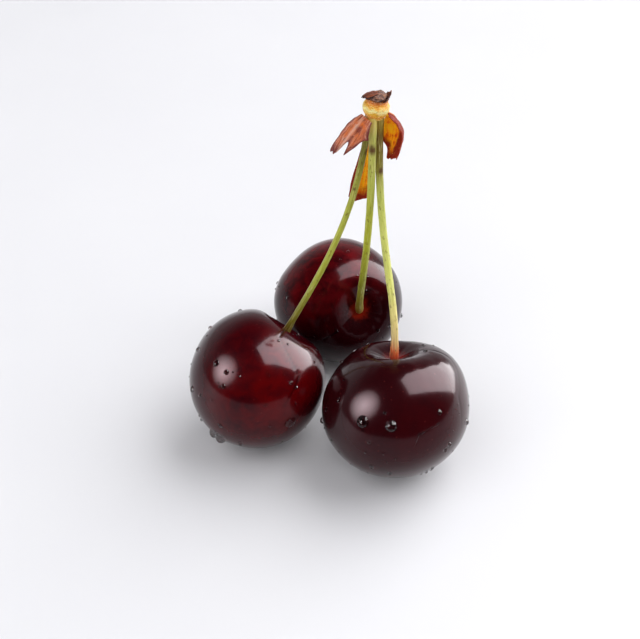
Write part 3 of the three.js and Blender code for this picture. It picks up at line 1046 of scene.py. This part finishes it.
def scalePoint(scale, across, along):
    # a point of the sheet, across from -1 to 1 and along from its root to its end
    at, depth, width = scale["notch"]
    seed = scale["seed"]
    cut = depth * gauss(across - at, width) + scale["slant"] * (across + 1) / 2 + scale["round"] * across ** 2
    cut += scale["trim"] * smooth(across, 0.3, 1)
    torn = wobble((across * 3, 0, 0), 0.6, seed) + 0.6 * wobble((across * 9, 0, 0), 0.7, seed)
    share = along * (1 - cut + scale["tear"] * torn * along)
    root, bend, end = [Vector(point) for point in scale["spine"]]
    place = root * (1 - share) ** 2 + bend * 2 * share * (1 - share) + end * share ** 2
    ahead = ((bend - root) * (1 - share) + (end - bend) * share).normalized()
    side = Vector((0, 1, 0))
    side = (side - ahead * ahead.dot(side)).normalized()
    side.rotate(Quaternion(ahead, math.radians(scale["twist"] * smooth(share, 0, 0.5))))
    outwards = ahead.cross(side)
    opening = smooth(share, 0, scale["widest"]) ** scale["late"]
    closing = max(0, (share - scale["widest"]) / (1 - scale["widest"]))
    taper = math.sqrt(max(0.05, 1 - (1 - scale["endShare"] ** 2) * min(1, closing) ** 2))
    half = scale["width"] / 2 * (scale["rootShare"] + (1 - scale["rootShare"]) * opening) * taper
    half *= 1 + 0.12 * wobble((share * 9, across > 0, 0), 1, seed + 1)
    turn = across * half / scale["roll"]
    turn += scale["curl"] * across * abs(across) ** 3 * share
    out = scale["roll"] * math.cos(turn) - scale["roll"]
    crumpled = wobble((across * 2.4, share * 6, 0), 1, seed + 2)
    crumpled += 0.5 * wobble((across * 5, share * 11, 0), 1, seed + 3)
    out += scale["crumple"] * crumpled * (0.3 + share)
    out += scaleForm["vein"] * math.sin(across * 16 + 2 * wobble((share * 3, 0, 0), 1, seed))
    out += scale["ridge"] * gauss(across - scaleForm["foldAt"], 0.18) * share
    return place + side * scale["roll"] * math.sin(turn) + outwards * out


def scaleLook(finish, tones):
    leaf = finish.attribute("leaf", "Vector")
    inBud = finish.attribute("inBud", "Vector")
    along = finish.add("ShaderNodeSeparateXYZ", {}, {0: leaf}, "Y")
    rim = finish.attribute("rim")
    patchy = finish.noise(inBud, 1.5, 3, 0.5)
    veinsAndFoldShading = finish.noise(finish.stretch(leaf, (4, 1.3, 1)), 0.6, 3, 0.6)
    colour = finish.mix(finish.rise(patchy, 0.35, 0.68), tones["plain"], tones["patch"])
    # Vein colour with painted light and shade: where this noise bumps the sheet up it is painted pale, and
    # where it bumps it down it is painted dark, as on lit folds and shaded creases.
    colour = finish.mix(finish.rise(veinsAndFoldShading, 0.48, 0.64) * 0.75, colour, tones["vein"])
    colour = finish.mix(finish.rise(veinsAndFoldShading, 0.46, 0.32) * 0.6, colour, tones["dark"])
    inner = finish.attribute("inner")
    colour = finish.mix(inner * finish.rise(patchy + veinsAndFoldShading * 0.5, 0.5, 0.9), colour, tones["inside"])
    rimmed = finish.rise(rim + (patchy - 0.5) * 0.7, 0.45, 0.85)
    colour = finish.mix(rimmed, colour, tones["rim"])
    # Painted highlight: a pale line along the ridge of the left bract.
    colour = finish.mix(finish.attribute("fold") * 0.7, colour, tones["vein"])
    fine = finish.noise(inBud, 0.24, 4, 0.3)
    colour = finish.mix(finish.rise(fine, 0.6, 0.8) * 0.5, colour, tones["fleck"])
    colour = finish.mix(finish.rise(fine, 0.42, 0.25) * 0.5, colour, tones["dark"])
    height = veinsAndFoldShading + fine * 0.6 + patchy * 0.5
    return {
        "Base Color": colour,
        # The scale's colour also shines a little by itself: a painted glow, as if light came through the
        # sheet.
        "Emission Color": colour,
        "Roughness": finish.noise(inBud, 0.5) * 0.2 + 0.5 + along * 0.05,
        "Normal": finish.bump(height, 0.0002),
    }


brown = {
    "plain": tone(150, 72, 54), "patch": tone(194, 128, 114), "vein": tone(238, 190, 168),
    "inside": tone(210, 104, 26), "rim": tone(116, 50, 44),
    "fleck": tone(250, 214, 186), "dark": tone(84, 30, 22),
}
orange = {
    "plain": tone(222, 92, 6), "patch": tone(250, 146, 8), "vein": tone(255, 182, 20),
    "inside": tone(255, 190, 20), "rim": tone(136, 34, 14),
    "fleck": tone(255, 226, 90), "dark": tone(176, 56, 4),
}
crusty = {
    "plain": tone(88, 44, 34), "patch": tone(126, 70, 52), "vein": tone(168, 98, 66),
    "inside": tone(190, 100, 44), "rim": tone(60, 30, 24),
    "fleck": tone(220, 166, 136), "dark": tone(38, 18, 14),
}
scaleTones = {
    "bract_left": brown, "bract_right": orange, "bract_back": orange,
    "cap_scale_left": crusty, "cap_scale_right": crusty,
}

for name, scale in scales.items():
    bm = bmesh.new()
    bmesh.ops.create_grid(bm, x_segments=scaleForm["across"], y_segments=scaleForm["along"], size=1)
    leaf = bm.verts.layers.float_vector.new("leaf")
    rim = bm.verts.layers.float.new("rim")
    inner = bm.verts.layers.float.new("inner")
    fold = bm.verts.layers.float.new("fold")
    for vert in bm.verts:
        across = vert.co.x
        along = (vert.co.y + 1) / 2
        vert.co = scalePoint(scale, across, along)
        vert[leaf] = (across, along, 0)
        edge = abs(across) ** 3
        if scale["rimSide"]:
            edge = smooth(across * scale["rimSide"], -0.4, 0.35)
        warm = 1
        if scale["warmFrom"] > 0:
            warm = smooth(across, scale["warmFrom"], 0.8)
        vert[rim] = max(edge, along ** 4)
        vert[inner] = (1 - vert[rim]) * warm
        # a strongly ridged scale gets a painted highlight along its ridge
        if scale["ridge"] > 0.3:
            vert[fold] = gauss(across - scaleForm["foldAt"], 0.1) * smooth(along, 0.05, 0.3)
    bearing = Matrix.Rotation(math.radians(scale["bearing"]), 4, "Z")
    bmesh.ops.transform(bm, matrix=bearing, verts=bm.verts)
    inBudFrame(bm)
    bmesh.ops.transform(bm, matrix=budFrame, verts=bm.verts)
    bmesh.ops.recalc_face_normals(bm, faces=bm.faces)
    # each scale's glow sets the strength of its painted glow
    material = newFinish(
        "dry_" + name,
        {
            "Specular IOR Level": 0.12, "Emission Strength": scale["paintedGlow"],
            "Subsurface Weight": 0.45, "Subsurface Radius": (0.002, 0.0009, 0.0003),
        },
        lambda finish, tones=scaleTones[name]: scaleLook(finish, tones),
    )
    thick = ("SOLIDIFY", {"thickness": scaleForm["thickness"] * mm, "offset": 0})
    finished(
        name + "_sheet", bm, material, stands=[name],
        modifiers=[thick, onceSmoother],
    )
